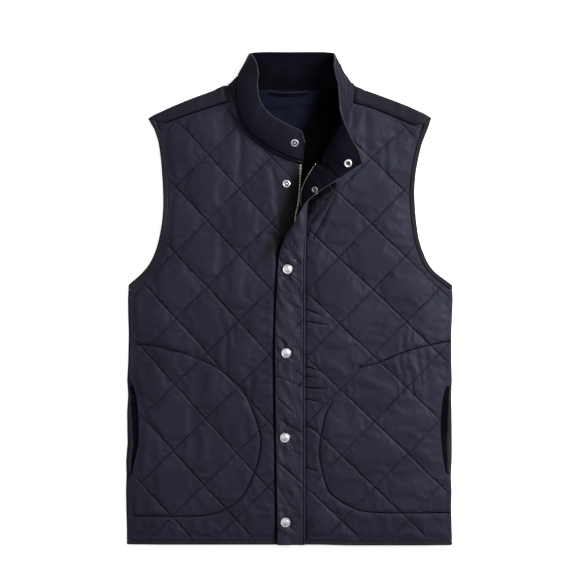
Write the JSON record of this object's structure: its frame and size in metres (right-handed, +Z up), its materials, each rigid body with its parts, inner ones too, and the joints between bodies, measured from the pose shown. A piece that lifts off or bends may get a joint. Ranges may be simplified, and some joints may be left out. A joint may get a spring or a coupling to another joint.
{
  "type": "quilted vest",
  "caption": "Quilted stand-collar vest laid flat on its back, zip and snap placket open at the neck, curved pockets at the side seams.",
  "frame": {"origin": "centre of the bounding box in plan, on the table under the garment", "axes": "+Y from the hem to the collar, +X to the side of the wearer's left front, +Z up from the table to the outer face of the fronts"},
  "size_m": [0.504, 0.7662, 0.0438],
  "materials": {
    "shell": "navy woven shell cloth with a soft sheen, diamond quilted on the fronts",
    "collar": "fine-rib dark navy collar cloth, matt",
    "lining": "smooth navy lining cloth",
    "trim": "charcoal woven binding and pocket facing, matt",
    "tape": "black-navy woven zip tape",
    "zip_metal": "dull antique brass",
    "snap_metal": "brushed nickel snap parts"
  },
  "bodies": {
    "root": {"back_panel": "shell", "back_lining": "lining", "front_right": "shell", "front_left": "shell", "placket": "shell", "collar": "collar", "zip_tape_right": "tape", "zip_tape_left": "tape", "zip_slider": "zip_metal", "pocket_right": "trim", "pocket_left": "trim", "armhole_binding_right": "trim", "armhole_binding_left": "trim", "hem_binding_front_right": "trim", "hem_binding_front_left": "trim", "hem_binding_back": "trim", "locker_loop": "trim", "snap_cap_1": "snap_metal", "snap_stud_1": "snap_metal", "snap_cap_2": "snap_metal", "snap_stud_2": "snap_metal", "snap_cap_3": "snap_metal", "snap_stud_3": "snap_metal", "snap_cap_4": "snap_metal", "snap_stud_4": "snap_metal", "snap_stud_top": "snap_metal", "snap_stud_collar": "snap_metal", "snap_socket_top": "snap_metal", "snap_socket_collar": "snap_metal", "snap_cap_top": "snap_metal", "snap_cap_collar": "snap_metal"}
  },
  "joints": []
}
